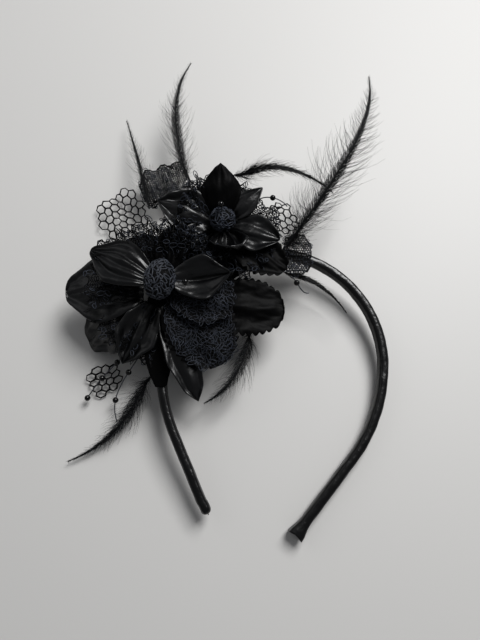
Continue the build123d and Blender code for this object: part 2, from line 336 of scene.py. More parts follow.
def satinTube(name, line, tipNodes, inset, square):
    look = bandLook
    heading = (line[-1] - line[-6]).normalized()
    tip = [v.co for node in tipNodes for v in frame["nodes"][node].data.vertices]
    reach = max((co - line[-1]).dot(heading) for co in tip)
    steps = max(3, int(reach / (0.7 * mm)))
    line = line + [line[-1] + heading * reach * (k + 1) / steps for k in range(steps)]
    gone = [0.0]
    for a, b in zip(line, line[1:]):
        gone.append(gone[-1] + (b - a).length)
    total = gone[-1]
    tipLength = look["flareLength"] if square else look["roundLength"]
    points, faces, count = [], [], look["around"]
    for index, centre in enumerate(line):
        before, after = line[max(0, index - 2)], line[min(len(line) - 1, index + 2)]
        tangent = (after - before).normalized()
        side = tangent.cross(bandUp).normalized()
        up = side.cross(tangent)
        thick, wide = look["thick"] / 2 - inset, look["wide"] / 2 - inset
        left = total - gone[index]
        toTip = smooth(tipLength, 0.0, left) if left < tipLength else 0.0
        if square:
            wide *= 1 + (look["flareWide"] - 1) * toTip
            thick *= 1 + (look["flareThick"] - 1) * toTip
        else:
            shrink = math.sqrt(max(0.0, 1 - max(0.0, 1 - left / tipLength) ** 2.6))
            thick, wide = thick * max(shrink, 0.02), wide * max(shrink, 0.02)
        for k in range(count):
            turn = 2 * math.pi * k / count
            c, s = math.cos(turn), math.sin(turn)
            power = 0.72
            x = math.copysign(abs(c) ** (power if not square else power - 0.25 * toTip), c) * thick
            y = math.copysign(abs(s) ** (power if not square else power - 0.25 * toTip), s) * wide
            point = centre + side * x + up * y
            out = (side * c + up * s).normalized()
            # fine creases run slantwise round the strip where the ribbon is drawn tight
            slant = gone[index] + 1.6 * y
            crease = ripple((slant, 5 * mm * math.cos(turn), 5 * mm * math.sin(turn)), look["creaseSize"],
                            3.0)
            crease += 0.5 * ripple((slant, 9 * mm * math.cos(turn), 9 * mm * math.sin(turn)),
                                   look["creaseSize"] / 2.6, 5.0)
            pull = look["wrinkle"] * crease
            if k == count * 3 // 4 or (k == count // 2 and square):
                pull += look["seam"]
            if square and toTip > 0:
                pull += 0.22 * mm * toTip * math.sin(y / (1.1 * mm) * math.pi) * (1 if x > 0 else 0.5)
                point += tangent * look["hollow"] * toTip * ((x / max(thick, 1e-6)) ** 2 - 1)
            elif toTip > 0:
                pull += 0.20 * mm * math.sin(8 * turn) * toTip
            points.append(point + out * pull)
        if index:
            a, b = (index - 1) * count, index * count
            faces += [(a + k, a + (k + 1) % count, b + (k + 1) % count, b + k) for k in range(count)]
    last = (len(line) - 1) * count
    points.append(sum(points[last:], Vector()) / count - heading * (0.4 * mm if square else 0.0))
    faces += [(last + k, last + (k + 1) % count, len(points) - 1) for k in range(count)]
    piece = makeMesh(name, points, faces, bandSatin)
    faceOutwards(piece)
    addWall(piece, look["wall"], -1)
    settle(piece)
    return piece, total


def makeBand():
    rows = bandCentreline()
    join = bandLook["joinAngle"]
    lap = bandLook["lap"]
    free = evenSteps([p for a, p in reversed(rows) if a < join + lap], bandLook["ringStep"])
    flower = evenSteps([p for a, p in rows if a > join - lap], bandLook["ringStep"])
    covers = (("satinCoverFree", free, "free_leg", "satin_end_free_leg", 0.0, True),
              ("satinCoverFlower", flower, "flower_leg", "satin_end_flower_leg", 0.12 * mm, False))
    for name, line, leg, tipNode, inset, square in covers:
        piece, length = satinTube(name, line, [tipNode], inset, square)
        pivot = flexAt[leg]
        near = min(range(len(line)), key=lambda k: (line[k] - pivot).length)
        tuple(line[near - 5])
        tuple(line[near + 5])
        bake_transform(piece)
        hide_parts("satin_cover_" + leg, tipNode)
        if square:
            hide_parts("satin_cover_crown")
    for part in ("crown", "free_leg", "flower_leg"):
        setFinish("band_core_" + part, stripPlastic)
    print("band covered")


def setFinish(node, material):
    mesh = frame["nodes"][node].data
    mesh.materials.clear()
    mesh.materials.append(material)


makeBand()


# Flowers: how each petal is shaped, in millimetres where it is a size
# dents run from root to tip, lip lifts the edge, roll is the radius of a rolled hem

petalLook = {
    "petal_a1": {"dents": 4.2, "depth": 1.5, "lip": 1.8, "roll": 0.8, "tipCurl": 2.0, "lumps": 1.1,
                 "shift": 0.3},
    "petal_a2": {"dents": 0.9, "depth": 1.8, "lip": 4.2, "roll": 1.0, "tipCurl": 3.0, "lumps": 1.3},
    "petal_a3": {"dents": 2.2, "depth": 2.2, "lip": 2.6, "roll": 1.0, "tipCurl": 1.5, "lumps": 1.5,
                 "shift": 0.6},
    "petal_a4": {"dents": 0.9, "depth": 1.2, "lip": 2.4, "roll": 1.1, "tipCurl": 1.0, "lumps": 0.5},
    "petal_a5": {"dents": 2.2, "depth": 1.3, "lip": 1.2, "roll": 0.4, "tipCurl": 1.0, "lumps": 1.2,
                 "teeth": 3.2, "sharp": 0.1, "finish": "matte"},
    "petal_a6": {"dents": 1.4, "depth": 1.4, "lip": 1.2, "roll": 0.6, "tipCurl": -0.8, "lumps": 0.8,
                 "shift": 0.5, "crease": 1.6, "sharp": 0.45},
    "petal_a7": {"dents": 1.8, "depth": 1.2, "lip": 0.8, "roll": 0.0, "tipCurl": 0.8, "lumps": 1.2,
                 "scallop": 1.4, "sharp": 0.2, "finish": "matte"},
    "petal_a8": {"dents": 2.4, "depth": 1.4, "lip": 1.2, "roll": 0.4, "tipCurl": 0.8, "lumps": 1.4,
                 "scallop": 2.2, "finish": "matte", "sharp": 0.15},
    "petal_a9": {"dents": 2.2, "depth": 1.4, "lip": 1.4, "roll": 0.6, "tipCurl": 1.0, "lumps": 1.2,
                 "finish": "matte"},
    "petal_b1": {"dents": 1.2, "depth": 1.4, "lip": -1.0, "roll": 0.6, "tipCurl": 0.6, "lumps": 1.2,
                 "finish": "matte", "crease": 0.8},
    "petal_b2": {"dents": 3.2, "depth": 2.0, "lip": 1.2, "roll": 0.7, "tipCurl": 1.2, "lumps": 1.7,
                 "shift": 0.4},
    "petal_b3": {"dents": 2.0, "depth": 1.8, "lip": 2.0, "roll": 0.7, "tipCurl": 1.2, "lumps": 1.3},
    "petal_b4": {"dents": 2.0, "depth": 1.5, "lip": 1.6, "roll": 0.6, "tipCurl": 0.8, "lumps": 1.2},
    "petal_b5": {"dents": 1.0, "depth": 1.0, "lip": 1.2, "roll": 0.5, "tipCurl": 0.6, "lumps": 0.6},
    "petal_b6": {"dents": 2.0, "depth": 1.4, "lip": 1.2, "roll": 0.4, "tipCurl": 1.0, "lumps": 1.4,
                 "scallop": 2.0, "finish": "matte"},
    "petal_b7": {"dents": 2.0, "depth": 1.4, "lip": 1.2, "roll": 0.6, "tipCurl": 1.0, "lumps": 1.2,
                 "finish": "matte"},
}
petalGrid = {"rows": 40, "columns": 30, "rollSteps": 4, "cloth": 0.42 * mm}


class Petal:
    # a petal read back from its CAD shell: part of a ball cut to a leaf outline
    def __init__(self, name, calyx):
        low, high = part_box(calyx)
        heart = (low + high) / 2
        shape = mergedCopy(name)
        self.tree = BVHTree.FromBMesh(shape)
        spots = [v.co.copy() for v in shape.verts]
        total = sum(f.calc_area() for f in shape.faces)
        middle = sum((f.calc_center_median() * f.calc_area() for f in shape.faces), Vector()) / total
        shape.free()
        table = (np.array(spots) - np.array(middle)) * 1000
        fit = np.linalg.lstsq(np.c_[2 * table, np.ones(len(table))], (table ** 2).sum(1), rcond=None)[0]
        self.centre = Vector(fit[:3]) * mm + middle
        tip = max(spots, key=lambda p: (p - heart).length)
        toTip, toMiddle = (tip - self.centre).normalized(), (middle - self.centre).normalized()
        turnAxis = toTip.cross(toMiddle).normalized()
        edge, missed = 0.0, 0
        for step in range(6, 600):
            angle = math.radians(step * 0.25)
            if self.tree.ray_cast(self.centre, Matrix.Rotation(angle, 3, turnAxis) @ toTip)[0] is None:
                missed += 1
                if missed > 3:
                    break
            else:
                edge, missed = angle, 0
        toRoot = Matrix.Rotation(edge, 3, turnAxis) @ toTip
        self.out = (toTip + toRoot).normalized()
        self.x = (toTip - toRoot).normalized()
        self.y = self.out.cross(self.x)
        self.up = 1 if self.out.dot(bandUp) > 0 else -1
        self.radius = (tip - self.centre).length - 0.25 * mm
        self.length = 2 * self.radius * math.sin(edge / 2)
        self.name = name
        self.widths = [self.halfWidth((k + 0.5) / 48) for k in range(48)]

    def halfWidth(self, u):
        x = (u - 0.5) * self.length
        both = []
        for side in (1, -1):
            low, high = 0.0, 30 * mm
            for _ in range(11):
                y = (low + high) / 2
                start = self.centre + self.x * x + self.y * y * side
                if self.tree.ray_cast(start, self.out)[0] is None:
                    high = y
                else:
                    low = y
            both.append(low)
        return sum(both) / 2

    def width(self, u):
        at = u * 48 - 0.5
        low = min(47, max(0, int(math.floor(at))))
        high = min(47, low + 1)
        if at > 46.5:
            return self.widths[46] * max(0.0, (48 - (at + 0.5)) / 1.5)
        return self.widths[low] + (self.widths[high] - self.widths[low]) * min(1.0, max(0.0, at - low))

    def point(self, u, v, lift=0.0):
        look = petalLook[self.name]
        seed = sum(ord(c) for c in self.name) * 0.37
        sharp = look.get("sharp", 0.35) * smooth(0.5, 1.0, u)
        x, y = (u - 0.5) * self.length, v * self.width(u) * (1 - sharp)
        height = math.sqrt(max(1e-9, self.radius ** 2 - x * x - y * y))
        base = self.centre + self.x * x + self.y * y + self.out * height
        body = math.sin(math.pi * min(1.0, u * 0.9 + 0.05)) ** 0.7
        drift = look.get("shift", 0.0) + 0.12 * ripple((u, v, seed), 0.5)
        rise = -look["depth"] * body * (0.5 - 0.5 * math.cos(2 * math.pi * (v * look["dents"] / 2 + drift)))
        rise += look["lip"] * smooth(0.62, 1.0, abs(v)) * body
        rise += look["tipCurl"] * smooth(0.72, 1.0, u)
        rise -= look.get("crease", 0.0) * math.exp(-(v / 0.13) ** 2) * body
        rise += look["lumps"] * ripple(base, 9 * mm, seed)
        rise += 0.35 * look["lumps"] * ripple((x * 0.45, y * 1.6, seed * mm), 3.2 * mm, seed)
        rise += 0.5 * smooth(0.8, 1.0, abs(v)) * ripple((x, seed * mm, 0.0), 4.5 * mm, seed)
        direction = (base - self.centre).normalized() * self.up
        return base + direction * (rise * mm + lift)

    def edge(self, u, v):
        # saw teeth and scallops are cut into the sides, not the root
        look = petalLook[self.name]
        teeth, scallop = look.get("teeth", 0.0), look.get("scallop", 0.0)
        if not teeth and not scallop or u < 0.3:
            return v
        along = u * self.length / (3.6 * mm)
        cutIn = teeth * mm * (along % 1.0) if teeth else scallop * mm * (1 - abs(math.sin(math.pi * along)))
        share = smooth(0.6, 1.0, abs(v)) * smooth(0.3, 0.4, u)
        return v * (1 - share * min(0.3, cutIn / max(self.width(u), 3 * mm)))


def makePetal(petal, cloth):
    rows, columns, steps = petalGrid["rows"], petalGrid["columns"], petalGrid["rollSteps"]
    look = petalLook[petal.name]
    if look.get("teeth") or look.get("scallop"):
        rows = rows * 2
    roll = look["roll"] * mm
    points, faces = [], []
    for i in range(rows + 1):
        u = 1 - (1 - i / rows) ** 1.15
        row = [petal.point(u, petal.edge(u, 2 * j / columns - 1)) for j in range(columns + 1)]
        if roll:
            uneven = 0.7 + 0.3 * ripple((u * 40 * mm, 0, 0), 9 * mm, 2.0)
            strength = smooth(0.0, 0.12, u) * smooth(1.0, 0.93, u) * uneven
            for side in (-1, 1):
                edge, inner = (row[0], row[1]) if side < 0 else (row[-1], row[-2])
                out = (edge - inner).normalized() if (edge - inner).length > 1e-6 else petal.y * side
                down = -(edge - petal.centre).normalized() * petal.up
                extra = []
                for k in range(1, steps + 1):
                    turn = math.radians(200) * k / steps
                    hem = out * math.sin(turn) + down * (1 - math.cos(turn))
                    extra.append(edge + hem * roll * strength * 0.8)
                row = extra[::-1] + row if side < 0 else row + extra
        points += row
        if i:
            n = len(row)
            a, b = (i - 1) * n, i * n
            faces += [(a + j, b + j, b + j + 1, a + j + 1) for j in range(n - 1)]
    piece = makeMesh(petal.name.replace("petal_", "petal"), points, faces, cloth)
    faceOutwards(piece)
    addWall(piece, petalGrid["cloth"])
    addSmoothing(piece)
    settle(piece)
    return piece


class Leaf(Petal):
    # a petal that isn't in the CAD: an extra fold of satin laid between two points
    profile = ((0.0, 0.4), (0.28, 0.84), (0.58, 1.0), (0.87, 0.62), (1.0, 0.0))

    def __init__(self, name, root, tip, widest, dome):
        self.name, self.radius, self.up = name, dome, 1
        self.x = (tip - root).normalized()
        self.out = (bandUp - self.x * bandUp.dot(self.x)).normalized()
        self.y = self.out.cross(self.x)
        self.length = (tip - root).length
        self.centre = (root + tip) / 2 - self.out * math.sqrt(dome ** 2 - (self.length / 2) ** 2)
        marks = [(k + 0.5) / 48 for k in range(48)]
        self.widths = [widest / 2 * float(np.interp(u, *zip(*self.profile))) for u in marks]


petals = {}
for name in petalLook:
    petals[name] = Petal(name, "calyx_" + name[6])
    cloth = matteSatin if petalLook[name].get("finish") == "matte" else petalSatin
    piece = makePetal(petals[name], cloth)
    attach(piece, "crown")
    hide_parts(name)
    shape = petals[name]
    flat = (round(2 * max(shape.widths) * 1.12, 4), round(shape.length * 1.08, 4))
    area = sum(shape.widths) / 48 * 2 * shape.length * 1.12
print("petals sewn")


# Extra folds of satin, from one place to another beside a flower: turn and reach round its heart, and level
leafLook = {
    "leafTail": {"heart": "a", "root": (-80, 9, 6), "tip": (-71, 62, 3.2), "widest": 17, "dome": 90,
                 "rides": "felt",
                 "dents": 1.2, "depth": 1.6, "lip": 1.6, "roll": 0.8, "tipCurl": 0.3, "lumps": 1.0,
                 "sharp": 0.1},
    "leafInner": {"heart": "a", "root": (70, 8, 9), "tip": (80, 33, 15), "widest": 17, "dome": 30,
                  "dents": 2.5, "depth": 2.0, "lip": 1.5, "roll": 0.6, "tipCurl": 1.0, "lumps": 1.6,
                  "finish": "matte"},
    "leafUnder": {"heart": "a", "root": (238, 9, 3), "tip": (243, 43, -3), "widest": 22, "dome": 45,
                  "dents": 2.2, "depth": 2.0, "lip": 1.8, "roll": 0.8, "tipCurl": 1.0, "lumps": 1.4},
    "leafLeft": {"heart": "b", "root": (200, 7, 7), "tip": (208, 27, 12), "widest": 13, "dome": 22,
                 "dents": 1.5, "depth": 1.2, "lip": 1.2, "roll": 0.6, "tipCurl": 1.0, "lumps": 1.0},
}
bandAcross = (Vector((1, 0, 0)) - bandUp * bandUp.x).normalized()
bandAlong = bandUp.cross(bandAcross)


def besideFlower(letter, turn, reach, level):
    low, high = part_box("calyx_" + letter)
    foot = (low + high) / 2 - bandUp * ((high - low).z / 2)
    angle = math.radians(turn)
    way = bandAcross * math.cos(angle) + bandAlong * math.sin(angle)
    return foot + way * reach * mm + bandUp * level * mm


for name, look in leafLook.items():
    petalLook[name] = look
    leaf = Leaf(name, besideFlower(look["heart"], *look["root"]), besideFlower(look["heart"], *look["tip"]),
                look["widest"] * mm, look["dome"] * mm)
    piece = makePetal(leaf, matteSatin if look.get("finish") == "matte" else petalSatin)
    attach(piece, "crown")
    flat = (round(2 * max(leaf.widths) * 1.25, 4), round(leaf.length * 1.08, 4))
print("extra folds sewn")


# Threads of net and lace: the cells of a sheet drawn as fine tubes

def makeThreadTree():
    tree = bpy.data.node_groups.new("threadWork", "GeometryNodeTree")
    face = tree.interface
    face.new_socket("Geometry", in_out="INPUT", socket_type="NodeSocketGeometry")
    for name, value in (("Thread", 0.15 * mm), ("Border", 0.3 * mm), ("Wander", 0.2 * mm),
                        ("WanderSize", 300.0), ("MotifGap", 6 * mm), ("MotifSize", 2 * mm),
                        ("MotifThread", 0.25 * mm), ("Stretch", 1.0), ("Density", 1.0)):
        face.new_socket(name, in_out="INPUT", socket_type="NodeSocketFloat").default_value = value
    for name in ("Seed", "Points"):
        face.new_socket(name, in_out="INPUT", socket_type="NodeSocketInt").default_value = 5
    for name in ("Finish", "CordFinish"):
        face.new_socket(name, in_out="INPUT", socket_type="NodeSocketMaterial")
    face.new_socket("Bordered", in_out="INPUT", socket_type="NodeSocketBool").default_value = True
    face.new_socket("Geometry", in_out="OUTPUT", socket_type="NodeSocketGeometry")
    given = addNode(tree, "NodeGroupInput").outputs

    # cells: a triangle lattice turned inside out gives hexagons
    cells = addNode(tree, "GeometryNodeDualMesh", {}, {0: given["Geometry"]})
    drift = addNode(tree, "ShaderNodeTexNoise", {"Detail": 1.0}, {"Scale": given["WanderSize"]})
    centred = addNode(tree, "ShaderNodeVectorMath", {"operation": "SUBTRACT", 1: (0.5, 0.5, 0.5)},
                      {0: drift.outputs["Color"]})
    scaled = addNode(tree, "ShaderNodeVectorMath", {"operation": "SCALE"},
                     {0: centred.outputs[0], "Scale": given["Wander"]})
    moved = addNode(tree, "GeometryNodeSetPosition", {},
                    {"Geometry": cells.outputs[0], "Offset": scaled.outputs[0]})
    threads = addNode(tree, "GeometryNodeMeshToCurve", {}, {"Mesh": moved.outputs[0]})
    uneven = addNode(tree, "ShaderNodeTexNoise", {"Scale": 500.0, "Detail": 1.0})
    spread = addNode(tree, "ShaderNodeMapRange",
                     {"From Min": 0.3, "From Max": 0.7, "To Min": 0.7, "To Max": 1.4},
                     {"Value": uneven.outputs[0]})
    thick = addNode(tree, "ShaderNodeMath", {"operation": "MULTIPLY"},
                    {0: spread.outputs[0], 1: given["Thread"]})
    cellTubes = addTube(tree, threads.outputs[0], thick.outputs[0], 4)
    # a heavier thread runs along the cut edge
    shared = addNode(tree, "GeometryNodeInputMeshEdgeNeighbors")
    lone = addNode(tree, "FunctionNodeCompare", {"data_type": "INT", "operation": "EQUAL", 3: 1},
                   {2: shared.outputs[0]})
    wanted = addNode(tree, "FunctionNodeBooleanMath", {"operation": "AND"},
                     {0: lone.outputs[0], 1: given["Bordered"]})
    rim = addNode(tree, "GeometryNodeMeshToCurve", {},
                  {"Mesh": given["Geometry"], "Selection": wanted.outputs[0]})
    rimTubes = addTube(tree, rim.outputs[0], given["Border"], 5)
    # small loops of raised cord are scattered over the ground
    spots = addNode(tree, "GeometryNodeDistributePointsOnFaces", {"distribute_method": "POISSON"},
                    {"Mesh": given["Geometry"], "Distance Min": given["MotifGap"],
                     "Density Max": given["Density"],
                     "Seed": given["Seed"]})
    loop = addNode(tree, "GeometryNodeCurvePrimitiveCircle", {"Radius": 1.0}, {"Resolution": given["Points"]})
    long = addNode(tree, "ShaderNodeCombineXYZ", {1: 1.0, 2: 1.0}, {0: given["Stretch"]})
    drawn = addNode(tree, "GeometryNodeTransform", {},
                    {"Geometry": loop.outputs[0], "Scale": long.outputs[0]})
    size = addNode(tree, "FunctionNodeRandomValue", {"data_type": "FLOAT", 2: 0.65, 3: 1.2},
                   {"Seed": given["Seed"]})
    sized = addNode(tree, "ShaderNodeMath", {"operation": "MULTIPLY"},
                    {0: size.outputs[1], 1: given["MotifSize"]})
    spun = addNode(tree, "FunctionNodeRandomValue", {"data_type": "FLOAT", 2: 0.0, 3: 6.28},
                   {"Seed": given["Seed"]})
    spin = addNode(tree, "ShaderNodeCombineXYZ", {}, {2: spun.outputs[1]})
    turned = addNode(tree, "FunctionNodeRotateEuler", {"space": "LOCAL"},
                     {"Rotation": spots.outputs["Rotation"], "Rotate By": spin.outputs[0]})
    motifs = addNode(tree, "GeometryNodeInstanceOnPoints", {},
                     {"Points": spots.outputs[0], "Instance": drawn.outputs[0], "Rotation": turned.outputs[0],
                      "Scale": sized.outputs[0]})
    looped = addNode(tree, "GeometryNodeRealizeInstances", {}, {0: motifs.outputs[0]})
    motifTubes = addTube(tree, looped.outputs[0], given["MotifThread"], 5)
    ground = addNode(tree, "GeometryNodeJoinGeometry")
    for part in (cellTubes, rimTubes):
        tree.links.new(part, ground.inputs[0])
    real = addNode(tree, "GeometryNodeRealizeInstances", {}, {0: ground.outputs[0]})
    soft = addNode(tree, "GeometryNodeSetShadeSmooth", {}, {0: real.outputs[0]})
    dark = addNode(tree, "GeometryNodeSetMaterial", {}, {0: soft.outputs[0], "Material": given["Finish"]})
    # the raised cord loops take CordFinish, whose grey is painted highlight for the glint on black cord
    raised = addNode(tree, "GeometryNodeSetShadeSmooth", {}, {0: motifTubes})
    light = addNode(tree, "GeometryNodeSetMaterial", {},
                    {0: raised.outputs[0], "Material": given["CordFinish"]})
    whole = addNode(tree, "GeometryNodeJoinGeometry")
    for part in (dark, light):
        tree.links.new(part.outputs[0], whole.inputs[0])
    addNode(tree, "NodeGroupOutput", {}, {0: whole.outputs[0]})
    return tree


threadTree = makeThreadTree()


def threadWork(name, points, faces, finish, values):
    piece = makeMesh(name, points, faces, None)
    work = piece.modifiers.new("threads", "NODES")
    work.node_group = threadTree
    setInputs(work, dict({"CordFinish": glintLaceCord}, **dict(values, Finish=finish)))
    settle(piece)
    return piece


def lattice(place, length, width, cell, inside=None):
    # triangles of one cell's spacing over a patch; place(s, t) takes true distances along and across
    rise = cell * math.sqrt(3) / 2
    rows, columns = max(2, int(round(length / rise))), max(2, int(round(width / cell)))
    keys, points, faces = {}, [], []
    for i in range(rows + 1):
        for j in range(columns + 1):
            s = length * i / rows
            t = width * (j + 0.5 * (i % 2)) / (columns + 0.5) - width / 2
            if inside is None or inside(s, t):
                keys[i, j] = len(points)
                points.append(place(s, t))
    for i in range(rows):
        for j in range(columns):
            a, b, c, d = (i, j), (i, j + 1), (i + 1, j), (i + 1, j + 1)
            corners = [(a, b, c), (b, d, c)] if i % 2 == 0 else [(a, d, c), (a, b, d)]
            faces += [tuple(keys[k] for k in three) for three in corners if all(k in keys for k in three)]
    return points, faces


# Lace laid over the petals

laceLook = {
    "petal_a5": {"cell": 1.4, "thread": 0.18, "border": 0.28, "inset": 0.86, "lift": 0.75, "motif": 0.95,
                 "gap": 1.9, "cut": 1.2},
    "petal_a7": {"cell": 1.3, "thread": 0.18, "border": 0.34, "inset": 1.02, "lift": 0.75, "motif": 0.95,
                 "gap": 1.9, "cut": 1.5},
}


def declareThreads(piece, length, share):
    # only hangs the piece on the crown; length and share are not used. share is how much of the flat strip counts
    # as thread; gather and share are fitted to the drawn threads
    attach(piece, "crown")


def laceOver(name, replaced):
    look, shape = laceLook[name], petals[name]

    def inside(s, t):
        return 0.01 < s / shape.length < 0.985 and abs(t) < shape.width(s / shape.length) * look["inset"]

    def place(s, t):
        halfWide = max(shape.width(s / shape.length), 0.5 * mm)
        return shape.point(s / shape.length, t / halfWide, look["lift"] * mm)

    widest = 2 * max(shape.widths)
    points, faces = lattice(place, shape.length, widest, look["cell"] * mm, inside)
    piece = threadWork(name.replace("petal_", "lacePetal"), points, faces, laceThread, {
        "Thread": look["thread"] * mm, "Border": look["border"] * mm, "Wander": 0.9 * mm, "WanderSize": 420.0,
        "MotifGap": look["gap"] * mm, "MotifSize": look["motif"] * mm, "MotifThread": 0.20 * mm,
        "Density": 900000.0, "Points": 8, "Stretch": 2.6, "Seed": 4})
    declareThreads(piece, shape.length, 0.9)
    if replaced:
        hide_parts(replaced)


laceOver("petal_a5", "petal_a5_lace")
laceOver("petal_a7", None)
print("lace on the petals")


# Veiling and gathered lace, spread from the wavy CAD sheets

veilLook = {
    "veil_upper": {"cell": 5.0, "thread": 0.42, "kind": "net", "share": 0.38, "corner": 4.0},
    "veil_lower": {"cell": 4.2, "thread": 0.42, "kind": "net", "share": 0.34, "corner": 8.0},
    "veil_side": {"cell": 4.4, "thread": 0.40, "kind": "net", "share": 0.38, "corner": 5.0},
    "veil_left": {"cell": 4.2, "thread": 0.42, "kind": "net", "share": 0.34, "corner": 8.0},
    "lace_upper": {"cell": 1.4, "thread": 0.31, "kind": "lace", "corner": 3.0},
    "lace_side": {"cell": 1.4, "thread": 0.31, "kind": "lace", "corner": 3.0},
}


def sheetFrame(name):
    # a wavy CAD sheet's middle, directions and size, from the spread of its points
    shape = mergedCopy(name)
    tree = BVHTree.FromBMesh(shape)
    spots = np.array([v.co for v in shape.verts])
    shape.free()
    middle = spots.mean(0)
    values, ways = np.linalg.eigh(np.cov((spots - middle).T))
    normal = Vector(ways[:, 0])
    if normal.dot(bandUp) < 0:
        normal = -normal
    along, across = Vector(ways[:, 2]), Vector(ways[:, 1])
    return tree, Vector(middle), normal, along, across, spots


def veilPatch(name):
    look = veilLook[name]
    tree, middle, normal, along, across, spots = sheetFrame(name)
    sizes = [((spots - np.array(middle)) @ np.array(way)) for way in (along, across)]
    length, width = [float(s.max() - s.min()) for s in sizes]
    start = [float(s.min()) for s in sizes]

    def place(s, t):
        flat = middle + along * (start[0] + s) + across * (start[1] + width / 2 + t)
        for nudge in (0.0, 0.02, 0.05, 0.1):
            probe = flat.lerp(middle, nudge)
            hit = tree.ray_cast(probe + normal * 0.05, -normal)[0]
            if hit is not None:
                return hit + (flat - probe)
        return tree.find_nearest(flat)[0]

    def inside(s, t):
        # torn and cut corners: the outline is a soft ragged oval
        across, down = abs(2 * t / width), abs(2 * s / length - 1)
        ragged = 0.4 * ripple((s, t, 0.0), 7 * mm, len(name))
        return across ** look["corner"] + down ** look["corner"] < 1.15 + ragged

    points, faces = lattice(place, length, width, look["cell"] * mm, inside)
    lace = look["kind"] == "lace"
    values = {"Thread": look["thread"] * mm, "Wander": (1.1 if lace else 3.0) * mm,
              "WanderSize": 420.0 if lace else 120.0, "Border": 0.3 * mm, "Bordered": lace,
              "MotifGap": 2.4 * mm, "MotifSize": 1.1 * mm, "MotifThread": 0.22 * mm, "Stretch": 1.8,
              "Points": 9, "Density": 200000.0 if lace else 0.0}
    title = name.split("_")
    piece = threadWork(title[0] + title[1].title(), points, faces, laceThread if lace else netThread, values)
    declareThreads(piece, length, 1.0 if lace else look.get("share", 0.36))
    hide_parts(name)


for name in veilLook:
    veilPatch(name)
print("veiling gathered")


# Gathered lace tucked between and under the petals; angles are round the flower in the band's plane,
# reach is from its middle, level is height over the felt

collarLook = {
    "laceCollarA1": {"heart": "a", "from": 36, "to": 128, "near": 9, "far": 37, "low": 4, "high": 14,
                     "waves": 7, "deep": 2.6},
    "laceCollarA2": {"heart": "a", "from": 128, "to": 200, "near": 12, "far": 42, "low": 4, "high": 7,
                     "waves": 5, "deep": 2.2},
    "laceCollarA3": {"heart": "a", "from": 205, "to": 292, "near": 12, "far": 42, "low": 2, "high": -1,
                     "waves": 6, "deep": 1.8},
    "laceCollarA4": {"heart": "a", "from": -25, "to": 38, "near": 16, "far": 40, "low": 4, "high": 12,
                     "waves": 5, "deep": 2.2},
    "laceCollarA5": {"heart": "a", "from": 52, "to": 118, "near": 12, "far": 30, "low": 9, "high": 20,
                     "waves": 6, "deep": 2.2},
    "laceCollarB1": {"heart": "b", "from": 92, "to": 178, "near": 7, "far": 33, "low": 3, "high": 7,
                     "waves": 7, "deep": 2.4},
    "laceCollarB2": {"heart": "b", "from": 178, "to": 268, "near": 7, "far": 24, "low": 4, "high": 17,
                     "waves": 6, "deep": 2.4},
    "laceCollarB3": {"heart": "b", "from": -72, "to": 20, "near": 8, "far": 34, "low": 2, "high": 9,
                     "waves": 6, "deep": 2.0},
    "laceCollarB4": {"heart": "b", "from": 20, "to": 92, "near": 7, "far": 27, "low": 3, "high": 11,
                     "waves": 5, "deep": 2.0},
    "laceCollarB5": {"heart": "b", "from": 120, "to": 210, "near": 9, "far": 27, "low": 9, "high": 15,
                     "waves": 6, "deep": 2.0},
}


def makeCollar(name):
    look = collarLook[name]
    foot = besideFlower(look["heart"], 0, 0, 0)
    begin, sweep = math.radians(look["from"]), math.radians(look["to"] - look["from"])
    gathered = 1.35
    length = sweep * (look["near"] * 0.4 + look["far"] * 0.6) * mm * gathered
    width = (look["far"] - look["near"]) * mm
    seed = sum(ord(c) for c in name) * 0.21

    def place(s, t):
        share, out = s / length, t / width + 0.5
        turn = begin + sweep * share + 0.06 * ripple((share, out, seed), 0.2)
        reach = (look["near"] + (look["far"] - look["near"]) * out) * mm
        reach *= 1 - 0.10 * smooth(0.6, 1.0, out) * abs(math.sin(math.pi * look["waves"] * 2 * share))
        phase = 2 * math.pi * look["waves"] * share + 2.0 * out
        wave = look["deep"] * mm * (0.3 + 0.7 * out) * math.sin(phase)
        level = (look["low"] + (look["high"] - look["low"]) * out) * mm + wave
        spot = foot + (bandAcross * math.cos(turn) + bandAlong * math.sin(turn)) * reach + bandUp * level
        return spot + Vector([1.2 * mm * ripple(spot, 6 * mm, seed + k) for k in range(3)])

    points, faces = lattice(place, length, width, 1.7 * mm)
    piece = threadWork(name, points, faces, laceThread, {
        "Thread": 0.22 * mm, "Border": 0.30 * mm, "Wander": 1.0 * mm, "WanderSize": 400.0,
        "MotifGap": 2.6 * mm,
        "MotifSize": 1.05 * mm, "MotifThread": 0.22 * mm, "Density": 200000.0, "Stretch": 1.8, "Points": 9,
        "Seed": int(seed)})
    declareThreads(piece, length, 1.0)


for name in collarLook:
    makeCollar(name)
print("collars gathered")


# Feathers: a horn quill with rows of barbs. Real barbs are about 0.05 mm thick; these are thicker, to show

featherLook = {
    "feather_1": {"dense": 0.42, "loose": 1.35, "down": 0.8, "sweep": 20, "thick": 0.085},
    "feather_2": {"dense": 0.50, "loose": 1.2, "down": 1.4, "sweep": 22, "thick": 0.09},
    "feather_3": {"dense": 0.55, "loose": 1.1, "down": 1.4, "sweep": 20, "thick": 0.12},
    "feather_4": {"dense": 0.48, "loose": 1.8, "down": 2.1, "sweep": 30, "thick": 0.12},
    "feather_5": {"dense": 0.60, "loose": 1.4, "down": 1.2, "sweep": 26, "thick": 0.10},
    "feather_6": {"dense": 0.62, "loose": 1.35, "down": 1.3, "sweep": 26, "thick": 0.11},
    "feather_7": {"dense": 0.6, "loose": 0.7, "down": 0.5, "sweep": 14, "thick": 0.12},
}
quillSteps = 14


